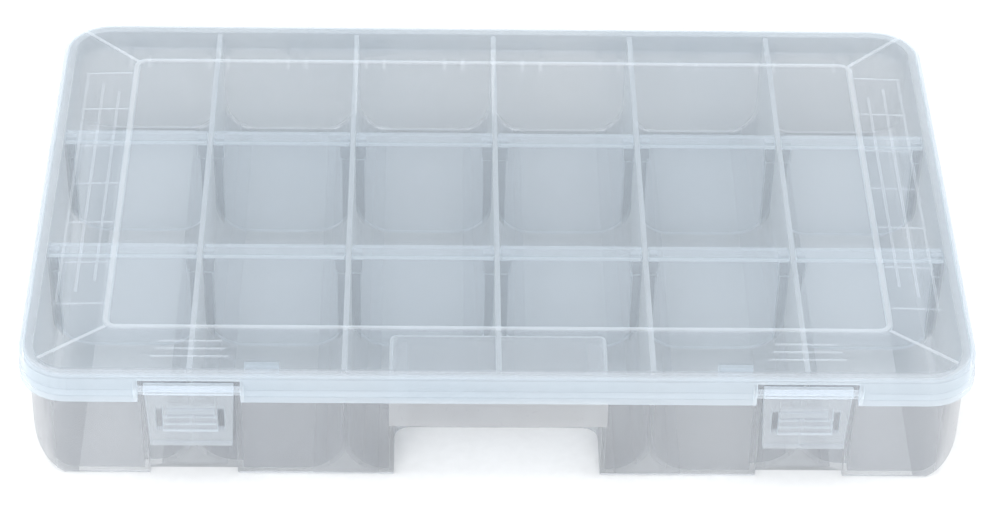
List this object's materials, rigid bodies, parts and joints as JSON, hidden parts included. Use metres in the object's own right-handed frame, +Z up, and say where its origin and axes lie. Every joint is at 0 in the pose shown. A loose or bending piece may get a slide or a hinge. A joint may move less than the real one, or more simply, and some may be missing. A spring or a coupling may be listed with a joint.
{
  "type": "parts organizer",
  "caption": "Shallow clear plastic box with rounded trough compartments, drop-in cross dividers, a hinged lid, two front snap latches and a finger pocket.",
  "frame": {"origin": "on the table under the middle of the closed box, latches and hinge included", "axes": "+X along the box's width to the right as seen from the latches, +Y from the latches to the hinge, +Z up"},
  "size_m": [0.3624, 0.2348, 0.0558],
  "materials": {
    "tray_plastic": "natural polypropylene, milky and see-through, softly polished",
    "divider_plastic": "natural polypropylene, milky and see-through",
    "lid_plastic": "natural polypropylene, clearer and glossier, faintly blue",
    "latch_plastic": "natural polypropylene, milky, faintly blue"
  },
  "bodies": {
    "tray_body": {"tray": "tray_plastic", "divider_front_1": "divider_plastic", "divider_front_2": "divider_plastic", "divider_front_3": "divider_plastic", "divider_front_4": "divider_plastic", "divider_front_5": "divider_plastic", "divider_front_6": "divider_plastic", "divider_back_1": "divider_plastic", "divider_back_2": "divider_plastic", "divider_back_3": "divider_plastic", "divider_back_4": "divider_plastic", "divider_back_5": "divider_plastic", "divider_back_6": "divider_plastic"},
    "lid_body": {"lid": "lid_plastic"},
    "latch_left_body": {"latch_left": "latch_plastic"},
    "latch_right_body": {"latch_right": "latch_plastic"}
  },
  "joints": [
    {"name": "lid_hinge", "type": "hinge", "parent": "tray_body", "child": "lid_body", "pos_m": [0, 0.1147, 0.041], "axis": [-1, 0, 0], "range_deg": [0, 180]},
    {"name": "latch_left_hinge", "type": "hinge", "parent": "lid_body", "child": "latch_left_body", "pos_m": [-0.116, -0.1151, 0.047], "axis": [-1, 0, 0], "range_deg": [0, 150]},
    {"name": "latch_right_hinge", "type": "hinge", "parent": "lid_body", "child": "latch_right_body", "pos_m": [0.116, -0.1151, 0.047], "axis": [-1, 0, 0], "range_deg": [0, 150]}
  ]
}
